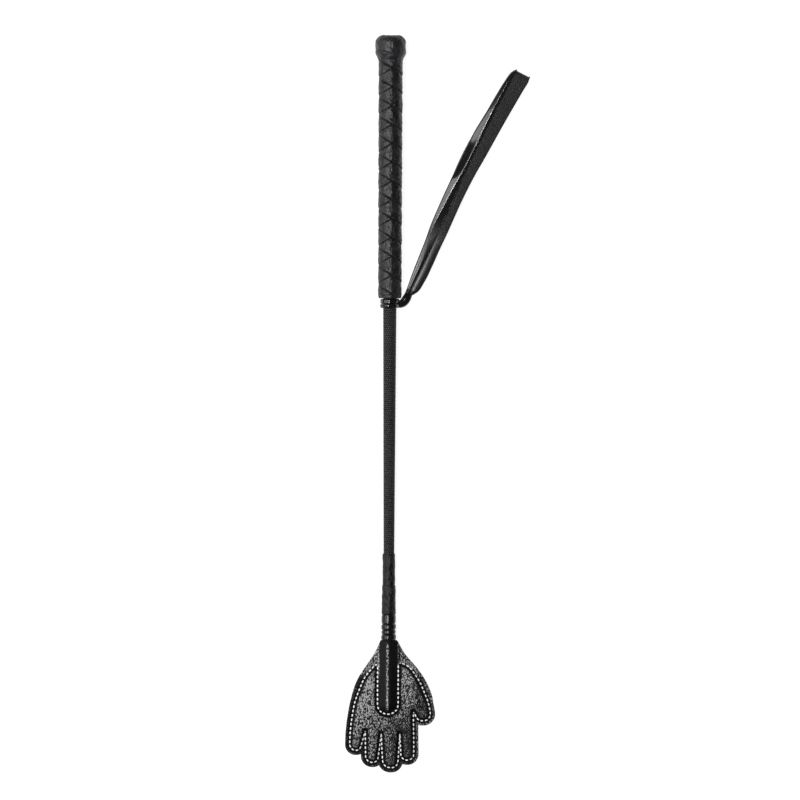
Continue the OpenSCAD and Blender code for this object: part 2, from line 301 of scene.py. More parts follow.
def add_piece(name, points, faces, material, to_row=crop_to_row, crease=35):
    """A mesh object from points in crop or strap axes, which it keeps as its texture's place."""
    points = np.asarray(points, float)
    mesh = bpy.data.meshes.new(name)
    mesh.from_pydata(to_row(points).tolist(), [], faces)
    work = bmesh.new()
    work.from_mesh(mesh)
    bmesh.ops.recalc_face_normals(work, faces=work.faces)
    work.to_mesh(mesh)
    work.free()
    place = mesh.attributes.new("place", "FLOAT_VECTOR", "POINT")
    place.data.foreach_set("vector", points.astype(np.float32).ravel())
    mesh.shade_smooth()
    mesh.set_sharp_from_angle(angle=math.radians(crease))
    mesh.materials.append(material)
    piece = bpy.data.objects.new(name, mesh)
    bpy.context.scene.collection.objects.link(piece)
    pieces[name] = piece
    return piece


def ring_faces(rings, columns, first=0, closed_rows=False):
    """Quads between rings of the same number of points."""
    faces = []
    for i in range(rings if closed_rows else rings - 1):
        low, high = i * columns, (i + 1) % rings * columns
        for j in range(columns):
            k = (j + 1) % columns
            faces.append((first + low + j, first + low + k, first + high + k, first + high + j))
    return faces


def about_shaft(radius, angle, y):
    """Points about the shaft; the angle goes from the top of the crop towards its right side."""
    return np.stack([radius * np.sin(angle), y, radius * np.cos(angle)], axis=-1)


def angle_about_shaft(points):
    return np.arctan2(points[..., 0], points[..., 2])


def ring_points(profile, columns, relief=None):
    """Rings about the shaft from a profile of (y, radius), raised by relief(angle, y)."""
    profile = np.asarray(profile, float)
    angle = np.arange(columns) * math.tau / columns
    theta, y = np.meshgrid(angle, profile[:, 0])
    radius = np.repeat(profile[:, 1:2], columns, axis=1)
    if relief is not None:
        radius = radius + relief(theta, y)
    return about_shaft(radius, theta, y)


def closed_tube(name, outer, inner_profile, material, crease=35):
    """A tube from rings of its outer surface and a plain profile for its bore."""
    columns = outer.shape[1]
    rings = np.concatenate([outer, ring_points(inner_profile, columns)])
    faces = ring_faces(len(rings), columns, closed_rows=True)
    return add_piece(name, rings.reshape(-1, 3), faces, material, crease=crease)


def capped_rings(name, rings, material, to_row=crop_to_row, crease=35):
    """A closed body through rings, with a point in the middle of each end."""
    count, columns = rings.shape[:2]
    points = np.concatenate([rings.reshape(-1, 3), [rings[0].mean(0), rings[-1].mean(0)]])
    faces = ring_faces(count, columns)
    start, end = count * columns, count * columns + 1
    last = (count - 1) * columns
    for j in range(columns):
        k = (j + 1) % columns
        faces.append((start, k, j))
        faces.append((end, last + j, last + k))
    return add_piece(name, points, faces, material, to_row, crease)


# ---------------- materials


class Surface:
    """A Principled material built up from nodes that read the mesh's place attribute."""

    def __init__(self, name, from_object=False):
        self.material = bpy.data.materials.new(name)
        self.material.use_nodes = True
        self.tree = self.material.node_tree
        self.shader = self.tree.nodes["Principled BSDF"]
        if from_object:
            self.source = self.node("ShaderNodeTexCoord").outputs["Object"]
        else:
            attribute = self.node("ShaderNodeAttribute")
            attribute.attribute_name = "place"
            self.source = attribute.outputs["Vector"]
        self.per_unit = 1 / MM if from_object else 1

    def node(self, kind, **values):
        made = self.tree.nodes.new(kind)
        for key, value in values.items():
            setattr(made, key, value)
        return made

    def link(self, output, socket):
        self.tree.links.new(output, socket)

    def place(self, stretch=(1, 1, 1), turn=(0, 0, 0)):
        """Coordinates in millimetres, turned by degrees and then stretched."""
        mapping = self.node("ShaderNodeMapping")
        mapping.inputs["Scale"].default_value = [s * self.per_unit for s in stretch]
        mapping.inputs["Rotation"].default_value = [math.radians(a) for a in turn]
        self.link(self.source, mapping.inputs["Vector"])
        return mapping.outputs["Vector"]

    def noise(self, size, detail=3, stretch=(1, 1, 1), turn=(0, 0, 0)):
        made = self.node("ShaderNodeTexNoise")
        made.inputs["Scale"].default_value = 1 / size
        made.inputs["Detail"].default_value = detail
        self.link(self.place(stretch, turn), made.inputs["Vector"])
        return made.outputs["Fac"]

    def cells(self, size, stretch=(1, 1, 1), turn=(0, 0, 0), warp=0.0):
        """Distance from the middle of each Voronoi cell of about that size."""
        made = self.node("ShaderNodeTexVoronoi")
        made.inputs["Scale"].default_value = 1 / size
        vector = self.place(stretch, turn)
        if warp:
            noise = self.node("ShaderNodeTexNoise")
            noise.inputs["Scale"].default_value = 0.6 / size
            self.link(vector, noise.inputs["Vector"])
            mix = self.node("ShaderNodeVectorMath", operation="MULTIPLY_ADD")
            mix.inputs[1].default_value = (warp * size,) * 3
            self.link(noise.outputs["Color"], mix.inputs[0])
            self.link(vector, mix.inputs[2])
            vector = mix.outputs["Vector"]
        self.link(vector, made.inputs["Vector"])
        return made.outputs["Distance"]

    def math(self, operation, a, b=0.0):
        made = self.node("ShaderNodeMath", operation=operation)
        for socket, value in zip(made.inputs, (a, b)):
            if isinstance(value, (int, float)):
                socket.default_value = value
            else:
                self.link(value, socket)
        return made.outputs["Value"]

    def ramp(self, value, stops):
        """A colour ramp through stops of (place, colour)."""
        made = self.node("ShaderNodeValToRGB")
        elements = made.color_ramp.elements
        while len(elements) < len(stops):
            elements.new(0.5)
        for element, (at, colour) in zip(elements, stops):
            element.position = at
            element.color = (*colour, 1)
        self.link(value, made.inputs["Fac"])
        return made.outputs["Color"]

    def span(self, value, low, high, start=0.0, end=1.0):
        """Takes 0 to 1, or start to end, onto low to high."""
        made = self.node("ShaderNodeMapRange")
        for key, number in (("From Min", start), ("From Max", end), ("To Min", low), ("To Max", high)):
            made.inputs[key].default_value = number
        self.link(value, made.inputs["Value"])
        return made.outputs["Result"]

    def value(self, name):
        """A number that the mesh holds for each vertex."""
        attribute = self.node("ShaderNodeAttribute")
        attribute.attribute_name = name
        return attribute.outputs["Fac"]

    def colour(self, output, darken=None):
        """Base colour, black where darken is 1."""
        if darken is not None:
            mix = self.node("ShaderNodeMix", data_type="RGBA")
            self.link(darken, mix.inputs["Factor"])
            self.link(output, mix.inputs["A"])
            mix.inputs["B"].default_value = (0.001, 0.001, 0.001, 1)
            output = mix.outputs["Result"]
        self.link(output, self.shader.inputs["Base Color"])

    def roughness(self, output):
        self.link(output, self.shader.inputs["Roughness"])

    def bumps(self, *layers):
        """Stacked bumps, each (height from 0 to 1, depth in millimetres)."""
        normal = None
        for height, depth in layers:
            bump = self.node("ShaderNodeBump")
            bump.inputs["Distance"].default_value = depth * MM
            self.link(height, bump.inputs["Height"])
            if normal is not None:
                self.link(normal, bump.inputs["Normal"])
            normal = bump.outputs["Normal"]
        self.link(normal, self.shader.inputs["Normal"])

    def set(self, **values):
        for key, value in values.items():
            self.shader.inputs[key.replace("_", " ")].default_value = value
        return self.material


def grip_leather():
    """Matt charcoal leather with a fine grain and a few soft creases, painted black in its grooves as painted
    shade.
    """
    s = Surface("grip_leather")
    grain = s.cells(0.55, stretch=(1, 0.8, 1), warp=0.5)
    cloudy = s.noise(7, detail=4)
    crease = s.value("crease")
    tone = s.ramp(cloudy, [(0.3, (0.005, 0.005, 0.0062)), (0.7, (0.015, 0.015, 0.018))])
    # painted shade: black where the mesh marks a groove
    s.colour(tone, darken=crease)
    s.roughness(s.math("ADD", s.span(cloudy, 0.31, 0.43, 0.3, 0.7), s.math("MULTIPLY", crease, 0.4)))
    s.bumps((grain, 0.06), (s.noise(2.2, detail=5), 0.7))
    return s.set(Specular_IOR_Level=0.45)


def crown_leather():
    """Worn, greenish black leather of the disc in the knob's end."""
    s = Surface("crown_leather")
    tone_level = s.noise(2.2, detail=5)
    s.colour(s.ramp(tone_level, [(0.35, (0.003, 0.005, 0.003)), (0.7, (0.014, 0.019, 0.013))]))
    s.roughness(s.span(tone_level, 0.4, 0.7))
    s.bumps((s.cells(0.5, warp=0.4), 0.06), (tone_level, 0.2))
    return s.set(Specular_IOR_Level=0.5)


def braid_yarn():
    """Waxed yarn, with fibres along the braid's strands, painted black between them as painted shade."""
    s = Surface("braid_yarn")
    fibre = s.noise(0.25, detail=2, stretch=(1, 0.35, 1))
    cloudy = s.noise(6, detail=4)
    crease = s.value("crease")
    tone = s.ramp(cloudy, [(0.3, (0.006, 0.006, 0.0075)), (0.7, (0.024, 0.024, 0.027))])
    # painted shade between the strands
    s.colour(tone, darken=crease)
    s.roughness(s.math("ADD", s.span(fibre, 0.26, 0.42), s.math("MULTIPLY", crease, 0.5)))
    s.bumps((fibre, 0.07))
    return s.set(Specular_IOR_Level=0.5)


def sleeve_tape():
    """Matt shrunk tape with an uneven skin."""
    s = Surface("sleeve_tape")
    uneven = s.noise(1.7, detail=4, stretch=(1, 0.6, 1), turn=(0, 0, 30))
    s.colour(s.ramp(uneven, [(0.38, (0.002, 0.002, 0.0025)), (0.62, (0.013, 0.013, 0.015))]))
    s.roughness(s.span(uneven, 0.32, 0.52, 0.3, 0.7))
    s.bumps((s.noise(0.4, detail=2), 0.04), (uneven, 0.9))
    return s.set(Specular_IOR_Level=0.24)


def patent(name, depth=0.1, coat=0.6):
    """Glossy coated strap leather, slightly wavy, with a faint grain."""
    s = Surface(name)
    wavy = s.noise(5, detail=2, stretch=(1, 0.35, 1))
    s.colour(s.ramp(wavy, [(0.3, (0.0035, 0.0035, 0.004)), (0.7, (0.008, 0.008, 0.009))]))
    s.roughness(s.span(s.noise(1.3, detail=4), 0.10, 0.22, 0.3, 0.7))
    s.bumps((s.noise(0.35, detail=2), 0.002), (wavy, depth))
    return s.set(Specular_IOR_Level=0.4, Coat_Weight=coat, Coat_Roughness=0.06)


def strap_leather():
    """Strap: glossy left of its seam, half glossy at its root, and matt and grained elsewhere."""
    s = Surface("strap_leather")
    gloss = s.value("gloss")
    wavy = s.noise(6, detail=2, stretch=(1, 0.3, 1))
    grain = s.noise(0.5, detail=3)
    s.colour(s.ramp(grain, [(0.35, (0.002, 0.002, 0.003)), (0.7, (0.009, 0.009, 0.010))]))
    s.roughness(s.math("ADD", s.span(gloss, 0.52, 0.14), s.span(grain, -0.03, 0.04)))
    grainy = s.math("MULTIPLY", s.cells(0.6, warp=0.5), s.span(gloss, 1.0, 0.0, 0.0, 0.5))
    s.bumps((grainy, 0.30), (wavy, 0.04))
    s.link(s.span(gloss, 0.45, 0.9), s.shader.inputs["Specular IOR Level"])
    s.link(s.span(gloss, 0.0, 0.6, 0.6, 1.0), s.shader.inputs["Coat Weight"])
    return s.set(Coat_Roughness=0.1)


def pebbled_leather():
    """Black pebbled leather with black creases between the grains; the grain's tops are painted light, a
    painted highlight whose strength the mesh gives for each vertex.
    """
    s = Surface("popper_leather")
    painted_grain_light = s.value("painted_grain_light")
    stretch, turn = (1.35, 0.70, 1), (0, 0, -35)
    pebbles = s.cells(0.95, stretch, turn, warp=0.3)
    fine = s.cells(0.6, stretch, turn, warp=0.5)
    tops = s.math("SUBTRACT", 1.0, s.math("MULTIPLY", pebbles, 1.5))
    patchy = s.span(s.noise(5, detail=3), 0.75, 1.25, 0.3, 0.7)
    # painted highlight on the grain's tops, plus painted light on the pocket's ridge and left side
    tone_level = s.math("MULTIPLY", s.math("MULTIPLY", tops, patchy), painted_grain_light)
    tone_level = s.math("ADD", tone_level, s.value("pocket_painted_light"))
    stops = [(0.14, (0.002, 0.002, 0.0025)), (0.32, (0.08, 0.08, 0.085)), (0.58, (0.66, 0.66, 0.67))]
    s.colour(s.ramp(tone_level, stops))
    s.roughness(s.span(tops, 0.62, 0.40, 0.2, 0.9))
    relief = s.math("MULTIPLY", tops, s.span(painted_grain_light, 0.25, 1.0))
    s.bumps((s.math("SUBTRACT", 1.0, fine), 0.10), (relief, 1.0))
    s.link(s.span(painted_grain_light, 0.12, 0.5), s.shader.inputs["Specular IOR Level"])
    return s.material


def suede_back():
    """Plain smoother leather of the popper's back."""
    s = Surface("popper_back_leather")
    grain = s.cells(0.7, warp=0.6)
    cloudy = s.noise(8, detail=4)
    s.colour(s.ramp(cloudy, [(0.3, (0.010, 0.010, 0.011)), (0.7, (0.020, 0.020, 0.022))]))
    s.roughness(s.span(cloudy, 0.48, 0.62))
    s.bumps((grain, 0.10), (cloudy, 0.25))
    return s.set(Specular_IOR_Level=0.5)


def waxed_thread():
    """Light grey twisted thread, made to glow a little as painted light."""
    s = Surface("waxed_thread")
    twist = s.noise(0.22, detail=2, stretch=(1, 0.6, 1), turn=(0, 0, 40))
    s.colour(s.ramp(twist, [(0.3, (0.80, 0.80, 0.79)), (0.7, (0.98, 0.98, 0.97))]))
    s.roughness(s.span(twist, 0.55, 0.75))
    s.bumps((twist, 0.06))
    # the emission is painted light
    return s.set(Specular_IOR_Level=0.3, Emission_Color=(1, 1, 1, 1), Emission_Strength=0.15)


def hidden_surface(name, dark, light, size, roughness, from_object=True, stretch=(1, 1, 1)):
    """Finish of a part that the covers hide."""
    s = Surface(name, from_object)
    mottled = s.noise(size, detail=4, stretch=stretch)
    s.colour(s.ramp(mottled, [(0.3, dark), (0.7, light)]))
    s.roughness(s.span(mottled, roughness - 0.08, roughness + 0.08))
    s.bumps((mottled, 0.1))
    return s.material


# ---------------- handle wrap

SEAM_PITCH = 12.75  # distance between crossings along the handle
SEAM_TOP = 156.05  # the highest crossing
SEAM_ANGLE = math.radians(13)  # where the strips cross, from the top of the handle
SEAM_RISE = SEAM_PITCH / math.pi  # rise of a strip's edge for each radian
HEM = 1.3


def handle_relief(theta, y):
    """Lapped strips that cross on the front and on the back of the handle, and a mask for the painted shade
    in their grooves.
    """
    turned_by = (theta - SEAM_ANGLE + math.pi) % math.tau - math.pi
    long_phase = ((y - SEAM_TOP + SEAM_RISE * turned_by) / SEAM_PITCH) % 1
    short_phase = ((y - SEAM_TOP - SEAM_RISE * turned_by) / SEAM_PITCH) % 1
    long_gap = SEAM_PITCH * np.minimum(long_phase, 1 - long_phase)
    short_gap = SEAM_PITCH * np.minimum(short_phase, 1 - short_phase)
    # the short edges show on one side of each crossing, up to the next long edge
    quarter = np.mod(-turned_by, math.pi) / (math.pi / 2)
    shows = smooth_step((1.02 - quarter) / 0.05) * smooth_step((quarter + 0.02) / 0.05)
    in_wrap = smooth_step((y - HEM) / 1.5) * smooth_step((HANDLE_TOP + 0.8 - y) / 1.2)
    lap = 0.26 * (1 - long_phase) + 0.16 * shows * short_phase
    pillow = 0.24 * np.sin(math.pi * long_phase) ** 0.7
    pillow += 0.10 * shows * np.sin(math.pi * short_phase) ** 0.7
    # the leather bunches up a little on the left of each crossing
    from_crossing = (y - SEAM_TOP + SEAM_PITCH / 2) % SEAM_PITCH - SEAM_PITCH / 2
    bunch = bell(np.hypot(from_crossing, (turned_by + 0.24) * 8), 1.6)
    pillow += 0.36 * bunch
    groove = 0.55 * bell(long_gap, 0.5) + 0.50 * shows * bell(short_gap, 0.48)
    flat = np.stack([theta.ravel() * 8, y.ravel()], axis=1)
    creases = 0.11 * waves(flat, 3, count=40, longest=12, shortest=2)
    height = in_wrap * (lap + pillow - groove - 0.16) + creases.reshape(theta.shape)
    # the second value is the painted shade in the grooves
    return height, in_wrap * np.maximum(bell(long_gap, 0.42), shows * bell(short_gap, 0.40))


def handle_radius(y):
    return HANDLE_LOW_R + (HANDLE_TOP_R - HANDLE_LOW_R) * y / HANDLE_TOP


def build_handle(material):
    """The handle's wrap, with a rounded lower edge that turns in towards the shaft."""
    low_r, hem_r = handle_radius(0), 0.9
    hem = [
        (hem_r * (1 - math.cos(a)), low_r - 1.0 + hem_r * math.sin(a)) for a in np.linspace(0, 1.5, 6)
    ]
    body = [(y, handle_radius(y) - 0.1) for y in np.arange(1.2, HANDLE_TOP + 0.3, 0.32)]
    profile = [(0.0, SHAFT_R + 0.05), (0.0, low_r - 1.6)] + hem + body
    columns = 168
    outer = ring_points(profile, columns, lambda theta, y: handle_relief(theta, y)[0])
    outer[0] = ring_points(profile[:1], columns)[0]
    bore = [
        (HANDLE_TOP + 0.2, handle_radius(HANDLE_TOP) - 0.75),
        (0.8, low_r - 1.05),
        (0.8, SHAFT_R + 0.05),
    ]
    piece = closed_tube("grip_wrap", outer, bore, material)
    # painted shade in the grooves of the wrap's seams
    set_values(piece, "crease", handle_relief(angle_about_shaft(outer), outer[..., 1])[1])


# ---------------- knob

KNOB_SHOULDER = 5.2  # radius of the knob's rounded end
KNOB_END_R = KNOB_R - 0.25
KNOB_FLAT_R = KNOB_END_R - KNOB_SHOULDER
CROWN_RADIUS = 6.5
CROWN_ACROSS = 0.9  # how far the gathered opening is off the end's middle
CROWN_FORWARD = 5.6


def knob_profile(inset=0.0):
    """(y, radius) from the knob's neck to the middle of its end, by even steps."""
    corners = [
        (HANDLE_TOP - 0.2, HANDLE_TOP_R - inset, 0),
        (HANDLE_TOP + 1.4, HANDLE_TOP_R - inset, 3),
        (HANDLE_TOP + 6.4, KNOB_R + 0.05 - inset, 4),
        (KNOB_TOP - inset, KNOB_END_R - inset, KNOB_SHOULDER - inset),
        (KNOB_TOP - inset, 0, 0),
        (HANDLE_TOP - 0.2, 0, 0),
    ]
    outline = rounded(corners)
    end = np.argmin(np.hypot(outline[:, 0] - (KNOB_TOP - inset), outline[:, 1]))
    return resample(outline[: end + 1], 0.3, closed=False)


def crown_depth(points):
    """How far inside the gathered opening the knob's surface points are, and their directions."""
    radius = np.hypot(points[..., 0], points[..., 2])
    below = KNOB_TOP - points[..., 1]
    bend = np.arccos(np.clip(1 - below / KNOB_SHOULDER, -1, 1)) * KNOB_SHOULDER
    reach_out = np.where(radius <= KNOB_FLAT_R, radius, KNOB_FLAT_R + bend)
    angle = angle_about_shaft(points)
    across = reach_out * np.sin(angle) - CROWN_ACROSS
    forward = reach_out * np.cos(angle) - CROWN_FORWARD
    direction = np.arctan2(across, forward)
    ripple = 0.25 * np.sin(direction * 9)
    return CROWN_RADIUS + ripple - np.hypot(across, forward), direction


def build_knob_cover(material):
    """Leather over the knob, gathered round the opening that the crown closes."""
    columns = 144
    profile, _ = knob_profile()
    rings = ring_points(profile, columns)
    depth, direction = crown_depth(rings)
    radial = rings * [1, 0, 1]
    length = np.linalg.norm(radial, axis=2, keepdims=True)
    slope = unit(np.gradient(profile, axis=0))
    out = radial / np.maximum(length, 1e-6) * slope[:, 0][:, None, None]
    out[..., 1] -= slope[:, 1][:, None]
    flat = rings.reshape(-1, 3)
    folds = np.sin(direction * 11 + 0.6 * waves(flat, 5, longest=30, shortest=9).reshape(depth.shape))
    away_from_front = smooth_step((np.abs(direction) - 0.7) / 0.5)
    gather = bell(depth + 2.2, 2.2) * 0.12 * folds * away_from_front
    lip = 0.10 * bell(depth + 0.7, 0.8)
    sink = -0.75 * smooth_step((depth + 0.1) / 0.9)
    theta = angle_about_shaft(rings)
    y = rings[..., 1]
    # the wrap's last edges run on over the knob
    edge_gap = np.abs(y - (HANDLE_TOP + 6.0 - 3.2 * theta))
    edge = bell(edge_gap, 0.45) * smooth_step((0.55 - np.abs(theta + 0.15)) / 0.3)
    neck_gap = np.abs(y - (SEAM_TOP - SEAM_RISE * (theta - SEAM_ANGLE)))
    edge = np.maximum(edge, bell(neck_gap, 0.45) * smooth_step((-theta - 0.5) / 0.1))
    creases = 0.16 * waves(flat, 6, longest=12, shortest=3.5).reshape(depth.shape)
    swell = gather + lip + sink - 0.45 * edge + creases * smooth_step(-depth / 5)
    swell *= smooth_step((y - HANDLE_TOP + 0.4) / 1.5)
    outer = rings + out * swell[..., None]
    inner_profile, _ = knob_profile(1.35)
    inner = ring_points(inner_profile[::-1][::2], columns)
    rings = np.concatenate([inner[1:], outer[:-1]])
    piece = capped_rings("knob_cover_leather", rings, material)
    # painted shade in the folds round the opening, at the crown's rim and along the wrap's edges
    values = np.zeros(rings.shape[:2])
    pinched = smooth_step((-folds - 0.45) / 0.4) * away_from_front
    dark = np.maximum(0.7 * bell(depth + 2.4, 1.7) * pinched, 0.8 * bell(depth + 0.2, 0.4))
    values[len(inner) - 1 :] = np.maximum(edge, dark)[:-1]
    set_values(piece, "crease", values)


def build_crown(material):
    """A thin domed disc that fills the knob's opening and tucks in under its lip."""
    ring_count, spokes = 22, 72
    angle = np.arange(spokes) * math.tau / spokes
    rows = []
    for k in range(ring_count, 0, -1):
        reach_out = (CROWN_RADIUS + 0.45) * k / ring_count
        rows.append((reach_out, -0.30 - 0.35 * (k / ring_count) ** 6))
    under = [(reach_out, depth_in - 0.45) for reach_out, depth_in in rows[::-1]]

    def on_knob(reach_out, depth_in):
        across = reach_out * np.sin(angle) + CROWN_ACROSS
        forward = reach_out * np.cos(angle) + CROWN_FORWARD
        theta = np.arctan2(across, forward)
        from_pole = np.hypot(across, forward)
        bend = np.maximum(from_pole - KNOB_FLAT_R, 0) / KNOB_SHOULDER
        radius = np.minimum(from_pole, KNOB_FLAT_R) + (KNOB_SHOULDER + depth_in) * np.sin(bend)
        y = KNOB_TOP - KNOB_SHOULDER + (KNOB_SHOULDER + depth_in) * np.cos(bend)
        return about_shaft(radius, theta, y)

    rings = np.array([on_knob(*row) for row in under + rows])
    capped_rings("knob_crown_disc", rings, material, crease=50)


# ---------------- braided shaft

STRANDS = 16
BRAID_PITCH = 1.4
BRAID_T = 0.85


def braid_relief(theta, y):
    """Short oval strand crossings in staggered rows that lean alternately left and right."""
    best = np.zeros(theta.shape)
    row_at = y / BRAID_PITCH
    cell = math.tau / STRANDS
    for step in (-1, 0, 1):
        row = np.floor(row_at) + step
        odd = np.mod(row, 2)
        v = (row_at - row - 0.5) * BRAID_PITCH
        for side in (-0.5, 0, 0.5):
            column = np.round(theta / cell - 0.5 * odd + side)
            u = (theta - (column + 0.5 * odd) * cell) * SHAFT_R
            lean = np.where(odd > 0, 0.55, -0.55)
            height = 1 - ((u + lean * v) / 0.92) ** 2 - (v / 0.80) ** 2
            best = np.maximum(best, height)
    return np.sqrt(np.clip(best, 0, 1))


def build_braid(material):
    """The braided cover, with strands in relief only where no sleeve or handle lies over it."""
    profile = [(y, shaft_radius(y) - 0.02) for y in (BRAID_END, BINDING_END)]
    profile += [(SLEEVE_START - 1.5, shaft_radius(SLEEVE_START) - 0.05)]
    profile += [(y, shaft_radius(y)) for y in np.arange(SLEEVE_START - 1, -5.6, 0.2)]
    profile += [(-5, SHAFT_R - 0.05), (BRAID_START, SHAFT_R - 0.02)]

    def shows(y):
        return smooth_step((y - SLEEVE_START + 1.2) / 1) * smooth_step((-5.2 - y) / 0.5)

    def relief(theta, y):
        return (0.55 * braid_relief(theta, y) - 0.48) * shows(y)

    outer = ring_points(profile, 192, relief)
    bore = [(y, shaft_radius(y) - BRAID_T) for y in (BRAID_START, 0, BRAID_END)]
    piece = closed_tube("braid", outer, bore, material, crease=60)
    # painted shade between the strands
    depth = 1 - braid_relief(angle_about_shaft(outer) % math.tau, outer[..., 1])
    set_values(piece, "crease", smooth_step(depth * 1.5) * shows(outer[..., 1]))


# ---------------- tip sleeves and neck binding


def uneven(seed, height):
    """A relief of seeded soft lumps."""

    def relief(theta, y):
        points = np.stack([5 * np.sin(theta), 5 * np.cos(theta), y], axis=-1).reshape(-1, 3)
        return height * waves(points, seed, longest=12, shortest=3).reshape(theta.shape)

    return relief


def sleeve_profile(low, high, low_r, high_r, edge):
    """Profile from the low to the high end with rounded edges."""
    turn = np.linspace(0, math.pi / 2, 5)
    profile = [(low + edge * (1 - math.sin(a)), low_r - edge * (1 - math.cos(a))) for a in turn[::-1]]
    ys = np.arange(low + edge + 0.4, high - edge, 0.4)
    profile += [(y, low_r + (high_r - low_r) * (y - low) / (high - low)) for y in ys]
    profile += [(high - edge * (1 - math.sin(a)), high_r - edge * (1 - math.cos(a))) for a in turn]
    return profile


def build_sleeves(material):
    """Both sleeves, each with its ends, their radii, its rounded edge and its seeded lumps."""
    low = span("tip_sleeve_lower")[0]
    upper_r, lower_r = reach("tip_sleeve_upper"), reach("tip_sleeve_lower")
    sleeves = (
        ("top", (SLEEVE_SPLIT - 0.1, SLEEVE_START), (upper_r - 0.03, upper_r - 0.08), 0.35, 11, 0.12),
        ("bottom", (low, SLEEVE_SPLIT), (lower_r + 0.1, lower_r - 0.2), 0.45, 12, 0.14),
    )
    for name, ends, radii, edge, seed, height in sleeves:
        outer = ring_points(sleeve_profile(*ends, *radii, edge), 96, uneven(seed, height))
        bore = [(y, shaft_radius(y)) for y in reversed(ends)]
        closed_tube("tip_sleeve_" + name, outer, bore, material)


LACE_EDGES = (0, 6.6, 10.5, 13.6, 17.6)  # where the turns of lace meet, from the binding's start
LACE_RADII = (4.75, 4.9, 4.75, 4.95)
LACE_BORE = 4.06


def build_binding(material):
    """Four turns of flat lace, wound with a slight slant."""
    ys = np.arange(BINDING_END, BINDING_START + 0.01, 0.14)

    def relief(theta, y):
        start = BINDING_START - y
        slant = 0.22 * np.sin(theta - 0.5) * smooth_step(start / 1.5) * smooth_step((17.4 - start) / 1.5)
        start = start + slant
        radius = np.zeros(theta.shape)
        for low, high, turn_r in zip(LACE_EDGES, LACE_EDGES[1:], LACE_RADII):
            inside = (start >= low) & (start <= high)
            edge = np.minimum(start - low, high - start)
            rise = turn_r - 0.75 * (1 - quarter_round(np.clip(edge / 1.1, 0, 1)))
            bulge = 0.16 * np.sin(math.pi * np.clip((start - low) / (high - low), 0, 1))
            radius = np.where(inside, rise + bulge, radius)
        return np.where(radius == 0, LACE_RADII[-1] - 0.65, radius)

    outer = ring_points([(y, 0.0) for y in ys], 96, relief)
    bore = [(y, LACE_BORE) for y in (ys[-1], ys[0])]
    closed_tube("neck_lace", outer, bore, material, crease=50)


# ---------------- strap turns, neck and loop


def build_turn(node, name, seed, material):
    """One turn of strap round the shaft: a soft, slightly pleated, slanting band."""
    low, high = span(node)
    middle, half = (low + high) / 2, (high - low) / 2
    steps = np.linspace(-1, 1, 25)
    angle = np.arange(120) * math.tau / 120
    a, t = np.meshgrid(angle, steps)
    y = middle + half * 0.98 * np.sin(t * math.pi / 2)
    bulge = np.sqrt(np.clip(1 - np.abs(t) ** 2.2, 0, 1))
    pleat = 0.10 * np.sin(t * 6 + 1.3 * np.sin(a + seed)) + 0.05 * np.sin(a * 7 + seed * 2 + t * 2)
    radius = TURN_R - 1.5 + (1.45 + pleat) * bulge
    y = y + 0.14 * np.sin(a - 0.8 + seed)
    bore = [(end, shaft_radius(middle)) for end in (high - 0.3, low + 0.3)]
    closed_tube(name, about_shaft(radius, a, y), bore, material, crease=60)


# the loop's lines and heights at stations along it, from its root to its fold
STATIONS = (-4.5, 0, 8, 21, 33, 45, 57, 69, 81, 89, 103, 116, 131, 142, 154, 162.5, 165.4)
LEFT_EDGE = (
    -2.3, -2.7, -3.8, -5.2, -6.4, -8.0, -8.9, -9.6, -10.1, -10.7, -11.1, -10.7, -9.6, -9.1, -8.3, -7.1, -6.1
)
RIGHT_EDGE = (2.2, 5.0, 6.1, 5.9, 5.2, 4.8, 4.1, 3.5, 3.3, 3.4, 4.0, 4.4, 4.9, 5.4, 6.0, 6.4, 5.9)
SEAM_LINE = (0.6, 0.5, 0.4, 0.2, -0.3, -1.0, -1.4, -1.9, -2.6, -3.1, -3.6, -3.9, -4.0, -4.0, -4.1, -4.1, -4.0)
RIDGE_LINE = (
    -0.9, -1.2, -1.8, -2.7, -4.3, -5.9, -6.0, -5.9, -5.5, -5.2, -5.3, -5.8, -6.0, -6.0, -5.8, -5.4, -5.0
)
FLAP_DROP = (0.3, 0.4, 0.5, 0.6, 0.65, 0.7, 0.95, 1.20, 1.6, 4.2, 4.7, 2.2, 1.05, 1.05, 1.2, 1.3, 0.5)
TOP_HEIGHT = (
    8.5, 8.9, 9.5, 10.2, 10.6, 10.85, 10.9, 10.75, 10.5, 10.3, 9.8, 9.1, 8.1, 7.2, 6.3, 5.7, 5.6
)
STRAP_T = 1.5
FOLD_H = 5.6
FLAT_FROM = 42  # from here to the fold the lower leg lies flat on the floor
PLEATS = ((0.30, 0.30, 0.5), (1.35, 0.42, 1.0), (2.45, 0.34, 0.6))  # each (place, width, height)


def pleats(place):
    """Height of the gathered strap's pleats; place is 0 at its left edge and 3 at its right."""
    return sum(height * bell(place - at, width) for at, width, height in PLEATS)


def loop_stations():
    """Stations of the ribbon from its lower root, round the fold, to its upper root.

    Each is (distance along the loop, height of the ribbon's outer face, turn of its outer side)."""
    fold_r = FOLD_H / 2
    straight = LOOP_LEN - fold_r
    lower = np.concatenate([np.linspace(STATIONS[0], 40, 36), np.linspace(43, straight, 66)])
    rise = smooth_step((FLAT_FROM - lower) / (FLAT_FROM - 2)) ** 1.25
    low_height = (LOOP_ROOT_H - LOOP_ROOT_R) * rise
    rows = [(s, h, -math.pi / 2) for s, h in zip(lower, low_height)]
    for a in np.linspace(-math.pi / 2, math.pi / 2, 13)[1:-1]:
        rows.append((straight + fold_r * math.cos(a), fold_r + fold_r * math.sin(a), a))
    upper = np.linspace(straight, STATIONS[0], 220)
    height = table(upper, STATIONS, TOP_HEIGHT)
    rows += [(s, h, math.pi / 2) for s, h in zip(upper, height)]
    return np.array(rows)


